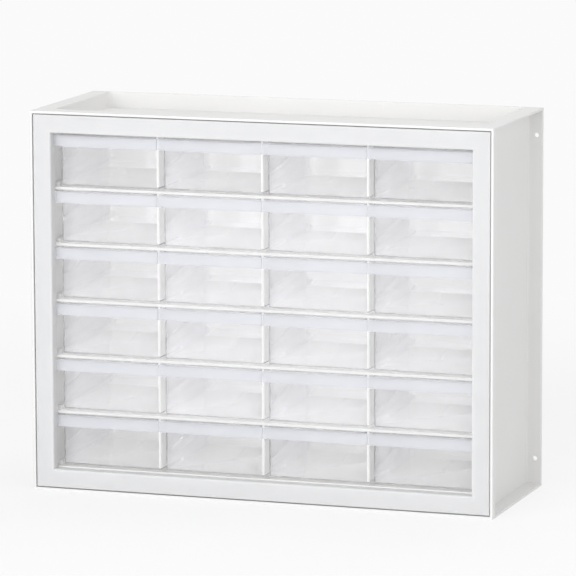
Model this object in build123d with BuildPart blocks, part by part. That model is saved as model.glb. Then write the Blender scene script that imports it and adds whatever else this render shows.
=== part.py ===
"""Parts drawer cabinet: a white moulded case with a grid of clear pull-out drawers.

Millimetres. +X is to the right, -Y is the front and +Z is up. The origin is at the middle of the
case's footprint, on the surface that it stands on.
"""
import os

from build123d import *

# Grid of drawers
columns = 4
rows = 6
cell_width = 112.75
cell_height = 58.5

# Outer case
case_depth = 182.0
rim_wall = 2.6
side_wall = 3.0
back_wall = 3.0
collar_depth = 10.0
collar_web = 2.6
side_gap = 3.5
ceiling_gap = 2.5
tray_floor = 3.0
base_floor = 3.0
front_ledge = 21.0
ledge_wall = 2.6
tray_corner_radius = 4.0
recess_corner_radius = 3.0
case_edge_radius = 0.8

# Wall holes in the back flange
wall_hole_diameter = 5.0
wall_hole_from_side = 6.85
wall_hole_from_end = 28.65

# Front frame
frame_face = 18.8
frame_seam = 1.1
frame_set_back = 0.3
frame_plate = 2.4
frame_skirt_wall = 2.2
frame_return_wall = 2.0
frame_return_depth = 13.0
frame_outer_edge_radius = 0.8
frame_inner_edge_radius = 2.4
frame_to_cells = 0.4

# Partitions
shelf_thickness = 2.8
divider_thickness = 2.8
divider_depth = 129.0
lap_clearance = 0.15
slot_headroom = 4.0
partition_edge_radius = 0.6

# Rails on the inside of the side walls, which hold the shelves' ends and guide the outer drawers
rail_width = 5.0
rail_below = 1.6
rail_above = 4.0
rail_groove = 4.5

# Drawers
drawer_side_clearance = 1.0
drawer_floor_clearance = 0.3
drawer_top_drop = 3.0
drawer_wall = 1.6
drawer_length = 123.5
drawer_back_radius = 10.0
drawer_front_radius = 2.0
drawer_floor_radius = 1.5
lip_gap = 0.7
lip_height = 11.8
lip_reach = 12.5
lip_wall = 1.6
lip_edge_radius = 0.6
lip_to_partition = 0.4
gate_diameter = 6.0
gate_depth = 0.4

# Places that follow from the sizes above
opening_width = columns * cell_width
opening_height = rows * cell_height
frame_inset = rim_wall + frame_seam
case_width = opening_width + 2 * (frame_face + frame_inset)
case_height = opening_height + 2 * (frame_face + frame_inset)
half_width = case_width / 2
front = -case_depth / 2
back = case_depth / 2
mid_height = case_height / 2
inner_half_width = opening_width / 2 + side_gap
wall_half_width = inner_half_width + side_wall
opening_bottom = (case_height - opening_height) / 2
opening_top = opening_bottom + opening_height
base_top = opening_bottom + shelf_thickness / 2
base_underside = base_top - base_floor
ceiling = opening_top + ceiling_gap
tray_bottom = ceiling + tray_floor
ledge_back = front + front_ledge
ledge_front = ledge_back - ledge_wall
inner_back = back - back_wall
collar_back = front + collar_depth
web_front = collar_back - collar_web
partition_front = front + frame_return_depth
cells_front = partition_front + frame_to_cells
divider_back = partition_front + divider_depth
lap_line = (partition_front + divider_back) / 2
rail_front = ledge_back
divider_places = [(number - columns / 2) * cell_width for number in range(1, columns)]
shelf_places = [opening_top - number * cell_height for number in range(1, rows)]

os.makedirs("parts", exist_ok=True)


def block(x_range, y_range, z_range, mode=Mode.ADD):
    """Add or cut the block between three pairs of coordinates in the part being made."""
    low = Vector(x_range[0], y_range[0], z_range[0])
    high = Vector(x_range[1], y_range[1], z_range[1])
    size = high - low
    with Locations((low + high) / 2):
        Box(size.X, size.Y, size.Z, mode=mode)


def upright(y):
    """Plane that faces the front at a given depth, with its origin at the middle of the case's height."""
    return Plane(origin=(0, y, mid_height), x_dir=(1, 0, 0), z_dir=(0, -1, 0))


def finish(part, name):
    """Label a finished piece and write it as its own file."""
    part.label = name
    export_step(part, f"parts/{name}.step")


# Outer case: one moulding, open at the front for the frame and the partitions
with BuildPart() as outer_case:
    block((-half_width, half_width), (front, back), (0, case_height))
    # Room inside the front rim for the frame, then the room for the grid behind it
    block((-half_width + rim_wall, half_width - rim_wall), (front, web_front),
          (rim_wall, case_height - rim_wall), Mode.SUBTRACT)
    block((-inner_half_width, inner_half_width), (front, ledge_front),
          (rim_wall, case_height - rim_wall), Mode.SUBTRACT)
    block((-inner_half_width, inner_half_width), (front, inner_back), (base_top, ceiling), Mode.SUBTRACT)
    # Base and ceiling of the cells run forward to the frame's inner return
    for plate_span in ((base_underside, base_top), (ceiling, tray_bottom)):
        block((-inner_half_width, inner_half_width), (cells_front, ledge_back), plate_span)
    # Recesses outside the side walls, between the front collar and the back flange
    for side in (-1, 1):
        with BuildSketch(Plane.XY.offset(rim_wall)) as side_recess:
            recess_width = half_width - wall_half_width
            with Locations((side * (wall_half_width + recess_width / 2), (collar_back + inner_back) / 2)):
                Rectangle(recess_width, inner_back - collar_back)
            wall_corners = side_recess.vertices().sort_by(Axis.X)
            fillet(wall_corners[2:] if side < 0 else wall_corners[:2], recess_corner_radius)
        extrude(amount=case_height - 2 * rim_wall, mode=Mode.SUBTRACT)
    # Tray in the top and the matching recess under the base
    tray_length = inner_back - ledge_back
    for level, depth in ((tray_bottom, case_height - tray_bottom), (0, base_underside)):
        with BuildSketch(Plane.XY.offset(level)):
            with Locations((0, (ledge_back + inner_back) / 2)):
                RectangleRounded(2 * inner_half_width, tray_length, tray_corner_radius)
        extrude(amount=depth, mode=Mode.SUBTRACT)
    # Rails that carry the shelves' ends, with a groove for each shelf, and the guides of the lowest row
    for side in (-1, 1):
        wall_face = side * inner_half_width
        rail_face = side * (inner_half_width - rail_width)
        groove_floor = side * (inner_half_width - rail_width + rail_groove)
        rail_span = sorted((wall_face, rail_face))
        for level in shelf_places:
            shelf_span = (level - shelf_thickness / 2, level + shelf_thickness / 2)
            block(rail_span, (rail_front, inner_back), (shelf_span[0] - rail_below, shelf_span[1] + rail_above))
            block(sorted((groove_floor, rail_face)), (rail_front, inner_back), shelf_span, Mode.SUBTRACT)
        block(rail_span, (rail_front, inner_back), (base_top, base_top + rail_above))
    # Wall holes through the back flange
    with Locations(upright(back)):
        with GridLocations(case_width - 2 * wall_hole_from_side, case_height - 2 * wall_hole_from_end, 2, 2):
            Cylinder(wall_hole_diameter / 2, 4 * back_wall, mode=Mode.SUBTRACT)
    # Softened outer corners and rims
    outer_uprights = (outer_case.edges().filter_by(Axis.Z)
                      .filter_by(lambda edge: abs(abs(edge.center().X) - half_width) < 0.01))
    top_rim = outer_case.faces().sort_by(Axis.Z)[-1].edges()
    fillet(outer_uprights + top_rim, case_edge_radius)
finish(outer_case.part, "outer_case")

# Front frame: face plate, outer skirt that rests on the case's collar, and inner return to the grid
frame_width = case_width - 2 * frame_inset
frame_height = case_height - 2 * frame_inset
frame_front = front + frame_set_back
with BuildPart() as front_frame:
    with BuildSketch(upright(frame_front)):
        Rectangle(frame_width, frame_height)
        Rectangle(opening_width, opening_height, mode=Mode.SUBTRACT)
    extrude(amount=-frame_plate)
    with BuildSketch(upright(frame_front)):
        Rectangle(frame_width, frame_height)
        Rectangle(frame_width - 2 * frame_skirt_wall, frame_height - 2 * frame_skirt_wall, mode=Mode.SUBTRACT)
    extrude(amount=frame_front - web_front)
    with BuildSketch(upright(frame_front)):
        Rectangle(opening_width + 2 * frame_return_wall, opening_height + 2 * frame_return_wall)
        Rectangle(opening_width, opening_height, mode=Mode.SUBTRACT)
    extrude(amount=frame_front - partition_front)
    face = front_frame.faces().sort_by(Axis.Y)[0]
    fillet(face.inner_wires()[0].edges(), frame_inner_edge_radius)
    face = front_frame.faces().sort_by(Axis.Y)[0]
    fillet(face.outer_wire().edges(), frame_outer_edge_radius)
finish(front_frame.part, "front_frame")

# Dividers: upright partitions, slotted from the front so that the shelves' fronts run through, with
# headroom above each shelf and above the base
slot_height = shelf_thickness + lap_clearance + slot_headroom
slot_rise = (slot_headroom - lap_clearance) / 2
for number, place in enumerate(divider_places, start=1):
    with BuildPart() as divider:
        with BuildSketch(Plane.YZ.offset(place - divider_thickness / 2)):
            with Locations(((partition_front + divider_back) / 2, (base_top + ceiling) / 2)):
                Rectangle(divider_depth, ceiling - base_top)
            for level in shelf_places:
                with Locations(((partition_front + lap_line) / 2, level + slot_rise)):
                    Rectangle(lap_line - partition_front, slot_height, mode=Mode.SUBTRACT)
            with Locations(((partition_front + lap_line) / 2, base_top + slot_headroom / 2)):
                Rectangle(lap_line - partition_front, slot_headroom, mode=Mode.SUBTRACT)
        extrude(amount=divider_thickness)
        front_edges = divider.edges().filter_by(Axis.Z).group_by(Axis.Y)[0]
        fillet(front_edges, partition_edge_radius)
    finish(divider.part, f"divider_{number}")

# Shelves: level partitions that reach the back wall, slotted from the back to pass the dividers
shelf_half_width = inner_half_width - rail_width + rail_groove
for number, level in enumerate(shelf_places, start=1):
    with BuildPart() as shelf:
        with BuildSketch(Plane.XY.offset(level - shelf_thickness / 2)):
            with Locations((0, (partition_front + inner_back) / 2)):
                Rectangle(2 * shelf_half_width, inner_back - partition_front)
            for place in divider_places:
                with Locations((place, (lap_line + inner_back) / 2)):
                    Rectangle(divider_thickness + 2 * lap_clearance, inner_back - lap_line,
                              mode=Mode.SUBTRACT)
        extrude(amount=shelf_thickness)
        front_edges = shelf.edges().filter_by(Axis.X).group_by(Axis.Y)[0]
        fillet(front_edges, partition_edge_radius)
    finish(shelf.part, f"shelf_{number}")

# Drawer, made once about the middle of its cell's lower front edge and then placed in each cell
drawer_width = cell_width - divider_thickness - 2 * drawer_side_clearance
drawer_bottom = shelf_thickness / 2 + drawer_floor_clearance
drawer_top = cell_height - drawer_top_drop
drawer_height = drawer_top - drawer_bottom
lip_width = cell_width - lip_gap
lip_front = partition_front - lip_to_partition - lip_wall
pane_front = lip_front + lip_reach
drawer_back = pane_front + drawer_length
drawer_middle = (pane_front + drawer_back) / 2
with BuildPart() as drawer:
    with BuildSketch(Plane.XY.offset(drawer_bottom)) as outline:
        with Locations((0, drawer_middle)):
            Rectangle(drawer_width, drawer_length)
        corners = outline.vertices().group_by(Axis.Y)
        fillet(corners[-1], drawer_back_radius)
        fillet(corners[0], drawer_front_radius)
    extrude(amount=drawer_height)
    bottom_edges = drawer.faces().sort_by(Axis.Z)[0].edges()
    fillet(bottom_edges, drawer_floor_radius)
    # Pull lip: a flat shelf at the rim's level that turns down at the front, across the whole cell
    block((-drawer_width / 2 + drawer_front_radius, drawer_width / 2 - drawer_front_radius),
          (lip_front, pane_front + drawer_wall), (drawer_top - lip_wall, drawer_top))
    block((-lip_width / 2, lip_width / 2), (lip_front, lip_front + lip_wall),
          (drawer_top - lip_height, drawer_top))
    # Hollow
    with BuildSketch(Plane.XY.offset(drawer_bottom + drawer_wall)) as hollow:
        with Locations((0, drawer_middle)):
            Rectangle(drawer_width - 2 * drawer_wall, drawer_length - 2 * drawer_wall)
        corners = hollow.vertices().group_by(Axis.Y)
        fillet(corners[-1], drawer_back_radius - drawer_wall)
    extrude(amount=drawer_height, mode=Mode.SUBTRACT)
    floor_edges = drawer.faces().filter_by(Axis.Z).group_by(Axis.Z)[1].edges()
    fillet(floor_edges, drawer_floor_radius)
    lip_edges = drawer.edges().filter_by(Axis.X).group_by(Axis.Y)[0]
    fillet(lip_edges, lip_edge_radius)
    # Moulding gate in the middle of the floor
    with Locations((0, drawer_middle, drawer_bottom + drawer_wall)):
        Cylinder(gate_diameter / 2, 2 * gate_depth, mode=Mode.SUBTRACT)

for row in range(rows):
    for column in range(columns):
        cell_middle = (column + 0.5 - columns / 2) * cell_width
        cell_bottom = opening_top - (row + 1) * cell_height
        placed = drawer.part.moved(Location((cell_middle, 0, cell_bottom)))
        finish(placed, f"drawer_r{row + 1}_c{column + 1}")
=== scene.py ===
"""Looks of a parts drawer cabinet: a white moulded case, its partitions and its clear pull-out drawers.

Metres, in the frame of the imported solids: +X to the right, -Y the front, +Z up.
"""

import logging
import math
from collections.abc import Callable, Iterator
from contextlib import contextmanager
from dataclasses import dataclass, field
from enum import Enum

import bmesh
import bpy
from mathutils import Matrix, Vector


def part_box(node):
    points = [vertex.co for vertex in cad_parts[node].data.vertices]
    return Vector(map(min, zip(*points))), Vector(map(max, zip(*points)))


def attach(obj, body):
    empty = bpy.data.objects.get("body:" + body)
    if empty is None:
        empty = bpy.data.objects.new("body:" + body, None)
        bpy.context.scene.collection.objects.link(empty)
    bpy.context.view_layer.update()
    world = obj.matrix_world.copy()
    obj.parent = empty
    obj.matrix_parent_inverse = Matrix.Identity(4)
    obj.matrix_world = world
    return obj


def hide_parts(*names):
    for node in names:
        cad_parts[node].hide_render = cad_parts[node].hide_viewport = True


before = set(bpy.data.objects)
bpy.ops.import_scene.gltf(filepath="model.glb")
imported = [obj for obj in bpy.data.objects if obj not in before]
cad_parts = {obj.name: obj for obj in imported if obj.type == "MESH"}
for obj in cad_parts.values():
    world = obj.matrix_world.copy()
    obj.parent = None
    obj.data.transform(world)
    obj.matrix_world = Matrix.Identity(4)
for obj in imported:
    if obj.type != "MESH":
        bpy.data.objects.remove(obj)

log = logging.getLogger("parts_drawer_cabinet")

MM = 0.001
# Glow that shows as the near-white background
WHITE_STRENGTH = 0.957
# A distance under this counts as none
NOTHING = 1e-5
# Nearly all of a noise pattern lies between these two values
NOISE_LOW = 0.3
NOISE_HIGH = 0.7


class Slot(Enum):
    """The record's material slots."""

    CASE = "case_plastic"
    FRAME = "frame_plastic"
    PARTITION = "partition_plastic"
    CLEAR = "clear_plastic"


class Pick(Enum):
    """What an edit-mode selection is made of."""

    FACES = "FACE"
    EDGES = "EDGE"


@dataclass
class ShaderBench:
    """Lays out the nodes of one material.

    Attributes:
        material: The material that is being made.
    """

    material: bpy.types.Material

    def __post_init__(self) -> None:
        """Start from an empty node tree."""
        self.material.use_nodes = True
        self.tree = self.material.node_tree
        self.tree.nodes.clear()

    def add(self, kind: str, settings: dict | None = None, **inputs: object) -> bpy.types.ShaderNode:
        """Add a node.

        Args:
            kind: The node's type, without its ShaderNode prefix.
            settings: Properties of the node itself.
            **inputs: Input values or sockets, named like the inputs with _ for a space.

        Returns:
            The new node.
        """
        node = self.tree.nodes.new("ShaderNode" + kind)
        for name, value in (settings or {}).items():
            setattr(node, name, value)
        for name, value in inputs.items():
            self.feed(node.inputs[name.replace("_", " ")], value)
        return node

    def feed(self, socket: bpy.types.NodeSocket, value: object) -> None:
        """Link a socket to an input, or set the input's own value.

        Args:
            socket: The input that receives the value.
            value: An output socket, or a plain value.
        """
        if isinstance(value, bpy.types.NodeSocket):
            self.tree.links.new(value, socket)
        else:
            socket.default_value = value

    def place(self) -> bpy.types.NodeSocket:
        """Give the surface's own place, which moves with the piece."""
        return self.add("TexCoord").outputs["Object"]

    def noise(
        self,
        size: float,
        detail: float = 2.0,
        stretch: tuple[float, float, float] = (1, 1, 1),
    ) -> bpy.types.NodeSocket:
        """Add a noise pattern whose patches have a real size.

        Args:
            size: Size of a patch in metres.
            detail: Number of finer layers in the pattern.
            stretch: How many times finer the pattern is along X, Y and Z.

        Returns:
            The pattern's value, about 0.5 on average.
        """
        mapping = self.add("Mapping", Vector=self.place(), Scale=stretch)
        pattern = self.add("TexNoise", Vector=mapping.outputs[0], Scale=1 / size, Detail=detail)
        return pattern.outputs["Fac"]

    def between(self, pattern: bpy.types.NodeSocket, low: float, high: float) -> bpy.types.NodeSocket:
        """Turn a noise pattern into a number that stays between two values.

        Args:
            pattern: A pattern from 0 to 1, mostly near 0.5.
            low: The lowest result.
            high: The highest result.

        Returns:
            The number's socket.
        """
        spread = {"From Min": NOISE_LOW, "From Max": NOISE_HIGH, "To Min": low, "To Max": high}
        node = self.add("MapRange", Value=pattern)
        for name, value in spread.items():
            node.inputs[name].default_value = value
        return node.outputs["Result"]

    def finish(self, surface: bpy.types.NodeSocket) -> bpy.types.Material:
        """Join a shader to the material's output and hand the material over."""
        self.add("OutputMaterial", Surface=surface)
        return self.material


def shade(colour: tuple[float, float, float], factor: float) -> tuple[float, float, float, float]:
    """Scale a colour's brightness.

    Args:
        colour: Linear red, green and blue.
        factor: The brightness factor.

    Returns:
        The colour with an opaque alpha.
    """
    return (colour[0] * factor, colour[1] * factor, colour[2] * factor, 1.0)


@dataclass(frozen=True)
class MouldedPlastic:
    """Opaque injection-moulded plastic with a fine spark-eroded grain.

    Attributes:
        name: The material's name.
        colour: Linear colour of the plastic.
        drift: How far broad patches stray from that colour, as a share.
        roughness: Lowest and highest roughness.
        index: Index of refraction.
        gloss: Strength of the surface's reflection, where 0.5 is what the index alone gives.
        grain_size: Size of the surface grain in metres.
        grain_depth: Depth of the grain in metres.
        translucence: Share of the light that enters the plastic before it scatters.
        scatter: How far that light spreads inside, in metres.
        flow_size: Size of the broad patches that the plastic's flow leaves, in metres.
        edge_line: Depth in the cabinet in front of which the plastic's colour is darkened as painted shade
            on its front edges, in metres.
        edge_fade: Depth over which that painted shade fades in, in metres.
        edge_shade: Brightness of the plastic in front of that line, as a share; this darkening is painted
            shade.
    """

    name: str
    colour: tuple[float, float, float]
    drift: float = 0.012
    roughness: tuple[float, float] = (0.42, 0.52)
    index: float = 1.49
    gloss: float = 0.4
    grain_size: float = 0.9 * MM
    grain_depth: float = 0.012 * MM
    translucence: float = 0.0
    scatter: float = 3.0 * MM
    flow_size: float = 90 * MM
    edge_line: float | None = None
    edge_fade: float = 0.3 * MM
    edge_shade: float = 1.0

    def material(self) -> bpy.types.Material:
        """Make the plastic's material."""
        bench = ShaderBench(bpy.data.materials.new(self.name))
        flow = bench.noise(self.flow_size, detail=3.0)
        colour = bench.add("Mix", {"data_type": "RGBA"}, Factor=bench.between(flow, 0.0, 1.0))
        bench.feed(colour.inputs[6], shade(self.colour, 1 - self.drift))
        bench.feed(colour.inputs[7], shade(self.colour, 1 + self.drift))
        grain = bench.noise(self.grain_size, detail=1.0)
        bump = bench.add("Bump", Height=grain, Strength=1.0, Distance=self.grain_depth)
        skin = bench.add("BsdfPrincipled", Base_Color=self.shade_front_edges(bench, colour.outputs[2]))
        bench.feed(skin.inputs["Normal"], bump.outputs[0])
        patches = bench.noise(self.flow_size / 4)
        bench.feed(skin.inputs["Roughness"], bench.between(patches, *self.roughness))
        skin.inputs["IOR"].default_value = self.index
        skin.inputs["Specular IOR Level"].default_value = self.gloss
        skin.inputs["Subsurface Weight"].default_value = self.translucence
        skin.inputs["Subsurface Radius"].default_value = (1.0, 1.0, 1.0)
        skin.inputs["Subsurface Scale"].default_value = self.scatter
        return bench.finish(skin.outputs[0])

    def shade_front_edges(self, bench: ShaderBench, colour: bpy.types.NodeSocket) -> bpy.types.NodeSocket:
        """Darken a colour on the front edges with painted shade, if the plastic has any.

        Args:
            bench: The bench of the material.
            colour: The plastic's colour.

        Returns:
            The colour with its front edges darkened by painted shade.
        """
        if self.edge_line is None:
            return colour
        # Painted shade: in front of edge_line the colour is scaled down to edge_shade, darkening the front
        # edges as shade would.
        depth = bench.add("SeparateXYZ", Vector=bench.place()).outputs["Y"]
        share = bench.add("MapRange", Value=depth)
        share.inputs["From Min"].default_value = self.edge_line - self.edge_fade
        share.inputs["From Max"].default_value = self.edge_line
        share.inputs["To Min"].default_value = self.edge_shade
        share.inputs["To Max"].default_value = 1.0
        shaded_edge_colour = bench.add("VectorMath", {"operation": "SCALE"}, Vector=colour, Scale=share.outputs[0])
        return shaded_edge_colour.outputs[0]


@dataclass(frozen=True)
class ClearPlastic:
    """Clear moulded plastic with faint handling scuffs and a slight flow in its surface.

    Attributes:
        name: The material's name.
        colour: Linear tint of the light that passes a surface.
        shadow_colour: Linear tint of the light that passes on to what is behind.
        haze: Share of the light that each surface scatters, which makes the plastic faintly milky.
        index: Index of refraction.
        roughness: Lowest and highest roughness.
        scuff_size: Size of the faint handling scuffs, in metres.
        flow_size: Size of the slow waves in the surface, in metres.
        flow_depth: Depth of those waves in metres.
    """

    name: str
    colour: tuple[float, float, float]
    shadow_colour: tuple[float, float, float]
    haze: float = 0.22
    index: float = 1.50
    roughness: tuple[float, float] = (0.03, 0.08)
    scuff_size: float = 6 * MM
    flow_size: float = 22 * MM
    flow_depth: float = 0.001 * MM

    def material(self) -> bpy.types.Material:
        """Make the clear material, which lets the lamps' light straight through."""
        bench = ShaderBench(bpy.data.materials.new(self.name))
        flow = bench.noise(self.flow_size, detail=1.0, stretch=(1, 1, 0.6))
        bump = bench.add("Bump", Height=flow, Strength=1.0, Distance=self.flow_depth)
        glass = bench.add("BsdfPrincipled", Normal=bump.outputs[0])
        scuffs = bench.noise(self.scuff_size, detail=4.0)
        bench.feed(glass.inputs["Roughness"], bench.between(scuffs, *self.roughness))
        glass.inputs["Base Color"].default_value = (*self.colour, 1.0)
        glass.inputs["IOR"].default_value = self.index
        glass.inputs["Transmission Weight"].default_value = 1 - self.haze
        path = bench.add("LightPath")
        through = bench.add("Math", {"operation": "MAXIMUM"})
        bench.feed(through.inputs[0], path.outputs["Is Shadow Ray"])
        bench.feed(through.inputs[1], path.outputs["Is Diffuse Ray"])
        open_way = bench.add("BsdfTransparent", Color=(*self.shadow_colour, 1.0))
        both = bench.add("MixShader", Fac=through.outputs[0])
        bench.feed(both.inputs[1], glass.outputs[0])
        bench.feed(both.inputs[2], open_way.outputs[0])
        return bench.finish(both.outputs[0])


CASE_PLASTIC = MouldedPlastic("case_white", colour=(0.790, 0.787, 0.782))
FRAME_PLASTIC = MouldedPlastic(
    "frame_white",
    colour=(0.722, 0.726, 0.736),
    roughness=(0.36, 0.46),
    translucence=0.6,
    scatter=6 * MM,
)
PARTITION_PLASTIC = MouldedPlastic(
    "partition_white",
    colour=(0.982, 0.980, 0.982),
    roughness=(0.30, 0.40),
    translucence=0.6,
    # Painted shade on the shelves' and dividers' front edges: their colour drops to 0.76 of the plastic's
    # own.
    edge_line=-77.2 * MM,
    edge_shade=0.76,
)
CLEAR_PLASTIC = ClearPlastic(
    "drawer_clear",
    colour=(0.993, 0.990, 1.0),
    shadow_colour=(1.0, 1.0, 1.0),
    haze=0.20,
    roughness=(0.01, 0.04),
)
# Painted shade: the sides' grey-blue tint darkens the partitions and case walls seen through the drawers'
# sides.
SIDE_PLASTIC = ClearPlastic(
    "drawer_side_clear",
    colour=(0.902, 0.897, 0.946),
    shadow_colour=(1.0, 1.0, 1.0),
    haze=0.04,
    roughness=(0.01, 0.03),
)
LIP_PLASTIC = ClearPlastic(
    "lip_frosted",
    colour=(0.740, 0.752, 0.785),
    shadow_colour=(0.994, 0.996, 1.0),
    haze=0.36,
    roughness=(0.16, 0.22),
)


def deselect() -> None:
    """Leave nothing selected, so that an operator acts only on what is picked next."""
    for piece in bpy.context.selected_objects:
        piece.select_set(False)


class Workpiece:
    """A mesh on the bench, shaped in edit mode and finished with applied modifiers."""

    def __init__(self, name: str, low: Vector, high: Vector) -> None:
        """Start from a block between two corners.

        Args:
            name: The piece's name.
            low: The block's lowest corner.
            high: The block's highest corner.
        """
        deselect()
        bpy.ops.mesh.primitive_cube_add(size=1.0, location=(low + high) / 2, scale=high - low)
        self.object = bpy.context.active_object
        self.object.name = name
        self.object.data.name = name
        bpy.ops.object.transform_apply(location=True, rotation=True, scale=True)

    @contextmanager
    def edit(self) -> Iterator[None]:
        """Hold the piece in edit mode."""
        deselect()
        self.object.select_set(True)
        bpy.context.view_layer.objects.active = self.object
        bpy.ops.object.mode_set(mode="EDIT")
        yield
        bpy.ops.object.mode_set(mode="OBJECT")

    def pick(self, kind: Pick, test: Callable[[Vector, Vector], bool]) -> int:
        """Select the faces or edges that pass a test, and nothing else.

        Args:
            kind: Faces or edges.
            test: Takes a face's middle and normal, or an edge's middle and direction.

        Returns:
            The number of faces or edges selected.
        """
        bpy.ops.mesh.select_mode(type=kind.value)
        bpy.ops.mesh.select_all(action="DESELECT")
        mesh = bmesh.from_edit_mesh(self.object.data)
        mesh.normal_update()
        if kind is Pick.FACES:
            found = [face for face in mesh.faces if test(face.calc_center_median(), face.normal)]
        else:
            found = [edge for edge in mesh.edges if test(middle_of(edge), direction_of(edge))]
        for element in found:
            element.select_set(True)
        mesh.select_flush_mode()
        bmesh.update_edit_mesh(self.object.data)
        return len(found)

    def extrude(self, by: tuple[float, float, float]) -> None:
        """Pull the selected faces out along a vector."""
        bpy.ops.mesh.extrude_region_move(TRANSFORM_OT_translate={"value": by})

    def assign(self, slot: int) -> None:
        """Give the selected faces the material of a slot."""
        self.object.active_material_index = slot
        bpy.ops.object.material_slot_assign()

    def bevel(self, width: float, segments: int) -> None:
        """Round the selected edges."""
        bpy.ops.mesh.bevel(
            offset=width, segments=segments, affect="EDGES", profile=0.5, clamp_overlap=True
        )

    def modify(self, kind: str, **settings: object) -> None:
        """Add a modifier and apply it.

        Args:
            kind: The modifier's type.
            **settings: The modifier's own settings.
        """
        deselect()
        self.object.select_set(True)
        bpy.context.view_layer.objects.active = self.object
        modifier = self.object.modifiers.new(kind.lower(), kind)
        for name, value in settings.items():
            setattr(modifier, name, value)
        bpy.ops.object.modifier_apply(modifier=modifier.name)

    def smooth(self, angle: float) -> None:
        """Shade the piece smooth where its faces meet at less than an angle in degrees."""
        deselect()
        self.object.select_set(True)
        bpy.context.view_layer.objects.active = self.object
        bpy.ops.object.shade_smooth_by_angle(angle=math.radians(angle))


def middle_of(edge: bmesh.types.BMEdge) -> Vector:
    """Give an edge's middle."""
    return (edge.verts[0].co + edge.verts[1].co) / 2


def direction_of(edge: bmesh.types.BMEdge) -> Vector:
    """Give an edge's direction, with no sign."""
    line = (edge.verts[1].co - edge.verts[0].co).normalized()
    return Vector((abs(line.x), abs(line.y), abs(line.z)))


def dress(piece: bpy.types.Object, material: bpy.types.Material) -> None:
    """Put a material on a piece.

    Args:
        piece: A new piece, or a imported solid.
        material: The material for all of it.
    """
    if not piece.material_slots:
        piece.data.materials.append(material)
    for slot in piece.material_slots:
        slot.material = material


@dataclass
class Case:
    """The outer case, one moulding with a tray in its top and recessed sides.

    Attributes:
        finish: The plastic that it is moulded in.
    """

    finish: MouldedPlastic = CASE_PLASTIC

    def build(self) -> list[bpy.types.Object]:
        """Dress the case.

        Returns:
            The case's piece.
        """
        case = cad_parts["outer_case"]
        dress(case, self.finish.material())
        return [case]


@dataclass
class Partitions:
    """The upright dividers and level shelves that part the cabinet into cells.

    Attributes:
        dividers: Number of dividers.
        shelves: Number of shelves.
        finish: The plastic that they are moulded in.
    """

    dividers: int = 3
    shelves: int = 5
    finish: MouldedPlastic = PARTITION_PLASTIC

    def build(self) -> list[bpy.types.Object]:
        """Dress the partitions.

        Returns:
            The partitions' pieces.
        """
        material = self.finish.material()
        names = [f"divider_{number + 1}" for number in range(self.dividers)]
        names += [f"shelf_{number + 1}" for number in range(self.shelves)]
        pieces = [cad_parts[name] for name in names]
        for piece in pieces:
            dress(piece, material)
        return pieces


@dataclass
class FrontFrame:
    """The frame round the drawers, with an outer skirt and an inner return.

    Attributes:
        face: Width of the frame's face.
        wall: Wall thickness.
        skirt_depth: Depth of the outer skirt.
        outer_radius: Radius of the face's outer edges.
        inner_radius: Radius of the face's inner edges.
        finish: The plastic that it is moulded in.
    """

    face: float = 18.8 * MM
    wall: float = 2.0 * MM
    skirt_depth: float = 7.1 * MM
    outer_radius: float = 0.8 * MM
    inner_radius: float = 2.4 * MM
    finish: MouldedPlastic = FRAME_PLASTIC
    low: Vector = field(init=False)
    high: Vector = field(init=False)

    def __post_init__(self) -> None:
        """Take the frame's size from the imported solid."""
        self.low, self.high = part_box("front_frame")

    def on_front(self, place: Vector) -> bool:
        """Say whether a point lies in the frame's front plane."""
        return abs(place.y - self.low.y) < NOTHING

    def on_outer_edge(self, place: Vector) -> bool:
        """Say whether a point lies on the frame's outer outline."""
        across = min(place.x - self.low.x, self.high.x - place.x)
        upright = min(place.z - self.low.z, self.high.z - place.z)
        return min(across, upright) < NOTHING

    def on_inner_edge(self, place: Vector) -> bool:
        """Say whether a point lies on the outline of the opening in the frame."""
        middle = (self.low + self.high) / 2
        half = (self.high - self.low) / 2
        across = abs(abs(place.x - middle.x) - (half.x - self.face))
        upright = abs(abs(place.z - middle.z) - (half.z - self.face))
        return min(across, upright) < NOTHING

    def borders_opening(self, place: Vector, along: Vector) -> bool:
        """Say whether a front edge borders the opening, and isn't slanted at a corner.

        Args:
            place: The edge's middle.
            along: The edge's direction, with no sign.
        """
        slanted = min(along.x, along.z) > NOTHING
        inside = self.on_front(place) and not self.on_outer_edge(place)
        return inside and not slanted

    def build(self) -> list[bpy.types.Object]:
        """Model the frame from a block: ring the face, turn the skirt and return back, thicken and soften.

        Returns:
            The frame's piece.
        """
        work = Workpiece("bezel_frame", self.low, self.high)
        with work.edit():
            work.pick(Pick.FACES, lambda place, normal: normal.y > -0.5)
            bpy.ops.mesh.delete(type="FACE")
            work.pick(Pick.FACES, lambda place, normal: True)
            bpy.ops.mesh.inset(thickness=self.face, depth=0.0, use_even_offset=True)
            bpy.ops.mesh.delete(type="FACE")
            work.pick(Pick.EDGES, lambda place, along: self.on_front(place) and self.on_outer_edge(place))
            bpy.ops.mesh.extrude_edges_move(TRANSFORM_OT_translate={"value": (0, self.skirt_depth, 0)})
            work.pick(Pick.EDGES, self.borders_opening)
            depth = self.high.y - self.low.y
            bpy.ops.mesh.extrude_edges_move(TRANSFORM_OT_translate={"value": (0, depth, 0)})
            work.pick(Pick.EDGES, lambda place, along: self.on_front(place) and self.on_outer_edge(place))
            work.bevel(self.outer_radius, 3)
            work.pick(Pick.EDGES, lambda place, along: self.on_front(place) and self.on_inner_edge(place))
            work.bevel(self.inner_radius, 4)
            bpy.ops.mesh.select_all(action="SELECT")
            bpy.ops.mesh.normals_make_consistent(inside=False)
        work.modify("SOLIDIFY", thickness=self.wall, offset=-1.0, use_even_offset=True)
        work.smooth(35)
        piece = work.object
        dress(piece, self.finish.material())
        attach(piece, "cabinet")
        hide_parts("front_frame")
        return [piece]


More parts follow.
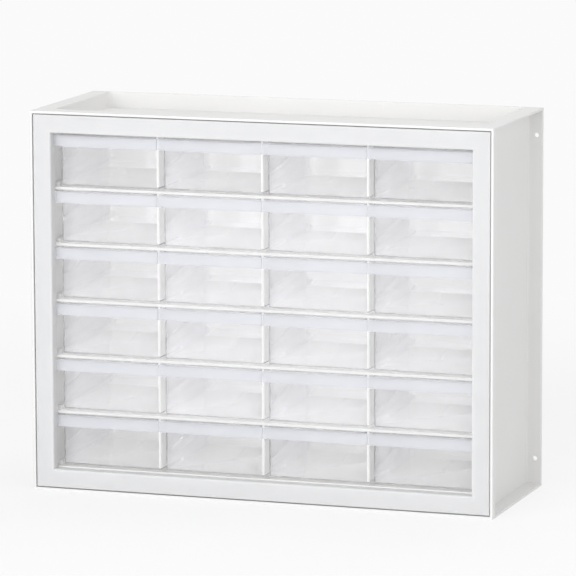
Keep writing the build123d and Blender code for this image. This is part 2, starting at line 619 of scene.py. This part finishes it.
@dataclass
class DrawerMould:
    """One clear drawer with a turned-down pull lip across the top of its front.

    Attributes:
        wall: Wall thickness.
        body_width: Width of the drawer behind its lip.
        back_radius: Radius of the two rear corners.
        front_radius: Radius of the two front corners.
        floor_radius: Radius where the floor meets the walls, outside.
        lip_reach: How far the lip stands out from the drawer's front.
        lip_height: Height of the lip.
        gate_radius: Radius of the moulding gate's mark in the floor.
        gate_depth: Depth of that mark.
        edge_radius: Radius of the rim's and the lip's edges.
        clear: The look of the drawer's front, back and floor.
        polished_shaded: The look of the drawer's sides: polished, with a grey-blue tint that is painted
            shade on the walls seen through them.
        frosted: The look of the lip's turned-down part and of the gate's mark.
    """

    wall: float = 1.6 * MM
    body_width: float = 107.95 * MM
    back_radius: float = 10.0 * MM
    front_radius: float = 2.0 * MM
    floor_radius: float = 1.5 * MM
    lip_reach: float = 12.5 * MM
    lip_height: float = 11.8 * MM
    gate_radius: float = 3.0 * MM
    gate_depth: float = 0.4 * MM
    edge_radius: float = 0.35 * MM
    clear: ClearPlastic = CLEAR_PLASTIC
    polished_shaded: ClearPlastic = SIDE_PLASTIC
    frosted: ClearPlastic = LIP_PLASTIC
    low: Vector = field(init=False)
    high: Vector = field(init=False)

    @property
    def middle(self) -> float:
        """The drawer's middle along X."""
        return (self.low.x + self.high.x) / 2

    @property
    def pane(self) -> float:
        """Depth of the drawer's front face, behind its lip."""
        return self.low.y + self.lip_reach

    @property
    def lip_back(self) -> float:
        """Depth of the rear face of the lip's turned-down part."""
        return self.low.y + self.wall

    @property
    def lip_underside(self) -> float:
        """Height of the underside of the lip's level part."""
        return self.high.z - self.wall

    @property
    def gate(self) -> Vector:
        """Middle of the gate's mark, on the floor's upper face."""
        return Vector((self.middle, (self.pane + self.high.y) / 2, self.low.z + self.wall))

    def build(self, name: str) -> bpy.types.Object:
        """Model the drawer in the place of a packed one.

        Args:
            name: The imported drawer's node.

        Returns:
            The drawer, with its place in its mesh.
        """
        self.low, self.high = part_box(name)
        half = self.body_width / 2
        front_corner = Vector((self.middle - half, self.pane, self.low.z))
        rear_corner = Vector((self.middle + half, self.high.y, self.high.z))
        work = Workpiece("clear_drawer", front_corner, rear_corner)
        with work.edit():
            work.pick(Pick.EDGES, self.on_rear_corner)
            work.bevel(self.back_radius, 7)
            work.pick(Pick.EDGES, self.on_front_corner)
            work.bevel(self.front_radius, 4)
            work.pick(Pick.FACES, lambda place, normal: normal.z > 0.9)
            bpy.ops.mesh.delete(type="FACE")
            work.pick(Pick.EDGES, lambda place, along: place.z < self.low.z + NOTHING)
            work.bevel(self.floor_radius, 5)
        work.modify("SOLIDIFY", thickness=self.wall, offset=-1.0, use_even_offset=True)
        with work.edit():
            self.draw_lip(work)
        work.modify(
            "BEVEL",
            width=self.edge_radius,
            segments=2,
            limit_method="ANGLE",
            angle_limit=math.radians(50),
            harden_normals=False,
        )
        self.mark_gate(work)
        work.smooth(40)
        self.finish_faces(work)
        return work.object

    def on_rear_corner(self, place: Vector, along: Vector) -> bool:
        """Say whether an edge is one of the drawer's rear uprights."""
        return along.z > 0.9 and place.y > self.high.y - NOTHING

    def on_front_corner(self, place: Vector, along: Vector) -> bool:
        """Say whether an edge is one of the drawer's front uprights."""
        return along.z > 0.9 and place.y < self.pane + NOTHING

    def on_pane(self, place: Vector, normal: Vector) -> bool:
        """Say whether a face lies in the drawer's front."""
        return normal.y < -0.99 and abs(place.y - self.pane) < NOTHING

    def at_rim_of_pane(self, place: Vector, normal: Vector) -> bool:
        """Say whether a face is the strip of the drawer's front from which the lip is pulled."""
        return self.on_pane(place, normal) and place.z > self.lip_underside

    def in_turned_part(self, place: Vector) -> bool:
        """Say whether a point lies in the lip's turned-down part."""
        return place.y < self.lip_back + NOTHING

    def under_turned_part(self, place: Vector, normal: Vector) -> bool:
        """Say whether a face is the underside from which the lip is turned down."""
        high_enough = place.z > self.lip_underside - NOTHING
        return normal.z < -0.9 and self.in_turned_part(place) and high_enough

    def on_gate_floor(self, place: Vector, normal: Vector) -> bool:
        """Say whether a face is the floor of the gate's mark."""
        return normal.z > 0.9 and abs(place.z - (self.gate.z - self.gate_depth)) < NOTHING

    def draw_lip(self, work: Workpiece) -> None:
        """Pull the lip out of the drawer's front, turn it down and widen it to the cell.

        Args:
            work: The drawer, in edit mode.
        """
        work.pick(Pick.FACES, self.on_pane)
        bpy.ops.mesh.bisect(plane_co=(0, 0, self.lip_underside), plane_no=(0, 0, 1))
        work.pick(Pick.FACES, self.at_rim_of_pane)
        work.extrude((0, self.lip_back - self.pane, 0))
        work.extrude((0, self.low.y - self.lip_back, 0))
        work.pick(Pick.FACES, self.under_turned_part)
        work.extrude((0, 0, self.wall - self.lip_height))
        half_lip = (self.high.x - self.low.x) / 2
        for side in (-1, 1):
            work.pick(Pick.FACES, lambda place, normal: normal.x * side > 0.9 and self.in_turned_part(place))
            reach = side * (half_lip - (self.body_width / 2 - self.front_radius))
            work.extrude((reach, 0, 0))

    def mark_gate(self, work: Workpiece) -> None:
        """Sink the moulding gate's round mark into the floor.

        Args:
            work: The drawer.
        """
        deselect()
        bpy.ops.mesh.primitive_cylinder_add(
            vertices=24, radius=self.gate_radius, depth=2 * self.gate_depth, location=self.gate
        )
        cutter = bpy.context.active_object
        bpy.ops.object.transform_apply(location=True, rotation=True, scale=True)
        work.modify("BOOLEAN", operation="DIFFERENCE", object=cutter, solver="EXACT")
        bpy.data.objects.remove(cutter)

    def finish_faces(self, work: Workpiece) -> None:
        """Dress the drawer: clear, polished on its sides with a tint of painted shade, frosted on its
        turned-down lip and its gate.

        Args:
            work: The drawer.
        """
        for finish in (self.clear, self.polished_shaded, self.frosted):
            work.object.data.materials.append(finish.material())
        with work.edit():
            work.pick(Pick.FACES, lambda place, normal: abs(normal.x) > 0.7)
            work.assign(1)
            work.pick(Pick.FACES, lambda place, normal: self.in_turned_part(place))
            work.assign(2)
            work.pick(Pick.FACES, self.on_gate_floor)
            work.assign(2)


@dataclass
class DrawerBank:
    """The drawers, one in each cell, all from one mould.

    Attributes:
        rows: Number of rows.
        columns: Number of columns.
        mould: The shape and the finishes of one drawer.
    """

    rows: int = 6
    columns: int = 4
    mould: DrawerMould = field(default_factory=DrawerMould)

    def build(self) -> list[bpy.types.Object]:
        """Model one drawer and give every cell its copy.

        Returns:
            The drawers' pieces.
        """
        cells = [(row + 1, column + 1) for row in range(self.rows) for column in range(self.columns)]
        names = [f"drawer_r{row}_c{column}" for row, column in cells]
        first = self.mould.build(names[0])
        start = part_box(names[0])[0]
        pieces = [self.copy_to(first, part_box(name)[0] - start) for name in names[1:]]
        for name, piece in zip(names, [first, *pieces]):
            piece.name = name.replace("drawer", "clear_drawer")
            piece.data.name = piece.name
            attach(piece, name)
            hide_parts(name)
        return [first, *pieces]

    def copy_to(self, first: bpy.types.Object, offset: Vector) -> bpy.types.Object:
        """Copy the first drawer to another cell, with its place in its own mesh.

        Args:
            first: The first drawer.
            offset: The way to the other cell.

        Returns:
            The copy.
        """
        piece = first.copy()
        piece.data = first.data.copy()
        piece.data.transform(Matrix.Translation(offset))
        bpy.context.scene.collection.objects.link(piece)
        return piece


@dataclass(frozen=True)
class SoftLamp:
    """A large soft lamp that points at the cabinet.

    Attributes:
        name: The lamp's name.
        azimuth: Degrees that it hangs to the right of the front.
        elevation: Degrees that it hangs above the cabinet's middle.
        distance: Distance from the cabinet's middle.
        size: Width and height.
        level: Share of full white that it gives to a white surface that faces it.
    """

    name: str
    azimuth: float
    elevation: float
    distance: float
    size: tuple[float, float]
    level: float

    def hang(self, aim: Vector) -> bpy.types.Object:
        """Hang the lamp.

        Args:
            aim: The point that the lamp faces.

        Returns:
            The lamp.
        """
        data = bpy.data.lights.new(self.name, "AREA")
        data.shape = "RECTANGLE"
        data.size, data.size_y = self.size
        data.energy = self.level * (math.pi * self.distance) ** 2
        side, rise = math.radians(self.azimuth), math.radians(self.elevation)
        level_way = Vector((math.sin(side), -math.cos(side), 0))
        away = level_way * math.cos(rise) + Vector((0, 0, math.sin(rise)))
        lamp = bpy.data.objects.new(self.name, data)
        lamp.location = aim + away * self.distance
        lamp.rotation_euler = (-away).to_track_quat("-Z", "Y").to_euler()
        lamp.visible_glossy = False
        bpy.context.scene.collection.objects.link(lamp)
        return lamp


@dataclass
class Studio:
    """The plain pale floor, the soft light and the camera.

    Attributes:
        sky_strength: Strength of the even light from all round.
        lamps: The soft lamps.
        lamp_aim: The point that the lamps face.
        floor_size: Side of the floor.
        floor_colour: Linear grey of the floor, as the light that it throws back has it.
        floor_shade: Linear grey of the part of the floor's look that shadows reach.
        floor_glow: The part of the floor's look that shadows don't reach.
        shadow_reach: Distances from the cabinet's middle between which the shadows fade out.
        lens: Camera's focal length in millimetres.
        sensor: Camera's sensor width in millimetres.
        camera_place: Where the camera stands.
        azimuth: Degrees that the camera stands to the right of the front.
        elevation: Degrees that the camera looks down.
        roll: Degrees that the camera is tilted in its own view.
        light_bounces: How often light is followed from one white surface to the next.
        clear_surfaces: How many clear surfaces a ray can pass.
    """

    sky_strength: float = 0.35
    lamps: tuple[SoftLamp, ...] = (
        SoftLamp("front_lamp", azimuth=-13, elevation=18, distance=3.4, size=(3.4, 2.2), level=0.76),
        SoftLamp("right_lamp", azimuth=50, elevation=16, distance=3.2, size=(2.0, 1.6), level=0.18),
        SoftLamp("side_lamp", azimuth=96, elevation=24, distance=3.2, size=(2.0, 1.6), level=0.17),
        SoftLamp("back_lamp", azimuth=180, elevation=60, distance=2.8, size=(2.0, 1.6), level=0.18),
        SoftLamp("top_lamp", azimuth=180, elevation=85, distance=2.8, size=(2.0, 1.6), level=0.18),
    )
    lamp_aim: tuple[float, float, float] = (0.0, 0.0, 0.2)
    floor_size: float = 30.0
    floor_colour: float = 0.80
    floor_shade: float = 0.25
    floor_glow: float = 0.72
    shadow_reach: tuple[float, float] = (0.45, 1.3)
    lens: float = 290.5
    sensor: float = 36.0
    camera_place: tuple[float, float, float] = (1.53552, -4.48308, 0.97688)
    azimuth: float = 18.900
    elevation: float = 9.1944
    roll: float = -0.202
    light_bounces: int = 16
    clear_surfaces: int = 32

    def build(self) -> None:
        """Set up the world, floor, lamps and camera."""
        self.light_world()
        self.lay_floor()
        for lamp in self.lamps:
            lamp.hang(Vector(self.lamp_aim))
        self.set_camera()
        scene = bpy.context.scene
        scene.view_settings.view_transform = "Standard"
        scene.cycles.diffuse_bounces = self.light_bounces
        scene.cycles.glossy_bounces = self.light_bounces
        scene.cycles.transmission_bounces = self.clear_surfaces
        scene.cycles.transparent_max_bounces = self.clear_surfaces
        scene.cycles.max_bounces = self.clear_surfaces

    def seen_directly(self, bench: ShaderBench) -> bpy.types.NodeSocket:
        """Give 1 on rays from the camera, mirrors and clear pieces, and 0 on rays that light a surface."""
        path = bench.add("LightPath")
        seen = bench.add("Math", {"operation": "MAXIMUM"})
        bench.feed(seen.inputs[0], path.outputs["Is Camera Ray"])
        bench.feed(seen.inputs[1], path.outputs["Is Glossy Ray"])
        either = bench.add("Math", {"operation": "MAXIMUM"})
        bench.feed(either.inputs[0], seen.outputs[0])
        bench.feed(either.inputs[1], path.outputs["Is Transmission Ray"])
        return either.outputs[0]

    def light_world(self) -> None:
        """Light the scene evenly from all round, with a white background."""
        world = bpy.data.worlds.new("studio")
        bpy.context.scene.world = world
        bench = ShaderBench(world)
        lighting = bench.add("Background", Color=(1, 1, 1, 1), Strength=self.sky_strength)
        backdrop = bench.add("Background", Color=(1, 1, 1, 1), Strength=WHITE_STRENGTH)
        both = bench.add("MixShader", Fac=self.seen_directly(bench))
        bench.feed(both.inputs[1], lighting.outputs[0])
        bench.feed(both.inputs[2], backdrop.outputs[0])
        bench.add("OutputWorld", Surface=both.outputs[0])

    def lay_floor(self) -> None:
        """Lay the floor, which looks white and takes the cabinet's shadow near the cabinet."""
        deselect()
        bpy.ops.mesh.primitive_plane_add(size=self.floor_size, location=(0, 0, 0))
        floor = bpy.context.active_object
        floor.name = "studio_floor"
        bench = ShaderBench(bpy.data.materials.new("studio_floor"))
        plain = bench.add("BsdfDiffuse", Color=(*[self.floor_colour] * 3, 1))
        shaded = bench.add("BsdfDiffuse", Color=(*[self.floor_shade] * 3, 1))
        glow = bench.add("Emission", Color=(1, 1, 1, 1), Strength=self.floor_glow)
        near = bench.add("AddShader")
        bench.feed(near.inputs[0], shaded.outputs[0])
        bench.feed(near.inputs[1], glow.outputs[0])
        far = bench.add("Emission", Color=(1, 1, 1, 1), Strength=WHITE_STRENGTH)
        away = bench.add("VectorMath", {"operation": "LENGTH"})
        bench.feed(away.inputs[0], bench.place())
        smooth = {"interpolation_type": "SMOOTHSTEP"}
        fade = bench.add("MapRange", smooth, Value=away.outputs["Value"])
        bench.feed(fade.inputs["From Min"], self.shadow_reach[0])
        bench.feed(fade.inputs["From Max"], self.shadow_reach[1])
        looks = bench.add("MixShader", Fac=fade.outputs["Result"])
        bench.feed(looks.inputs[1], near.outputs[0])
        bench.feed(looks.inputs[2], far.outputs[0])
        both = bench.add("MixShader", Fac=self.seen_directly(bench))
        bench.feed(both.inputs[1], plain.outputs[0])
        bench.feed(both.inputs[2], looks.outputs[0])
        dress(floor, bench.finish(both.outputs[0]))

    def set_camera(self) -> None:
        """Stand the camera where the photograph was taken from."""
        data = bpy.data.cameras.new("camera")
        data.lens = self.lens
        data.sensor_width = self.sensor
        camera = bpy.data.objects.new("camera", data)
        turn = Matrix.Rotation(math.radians(self.azimuth), 4, "Z")
        tilt = Matrix.Rotation(math.radians(90 - self.elevation), 4, "X")
        roll = Matrix.Rotation(math.radians(self.roll), 4, "Z")
        camera.matrix_world = Matrix.Translation(self.camera_place) @ turn @ tilt @ roll
        bpy.context.scene.collection.objects.link(camera)
        bpy.context.scene.camera = camera


def main() -> None:
    """Build the cabinet's looks in order and report each piece."""
    logging.basicConfig(level=logging.INFO, format="%(name)s: %(message)s")
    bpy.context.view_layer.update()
    Studio().build()
    for assembly in (Case(), FrontFrame(), Partitions(), DrawerBank()):
        for piece in assembly.build():
            log.info("%s: %s, %d faces", type(assembly).__name__, piece.name, len(piece.data.polygons))


if __name__ == "__main__":
    main()
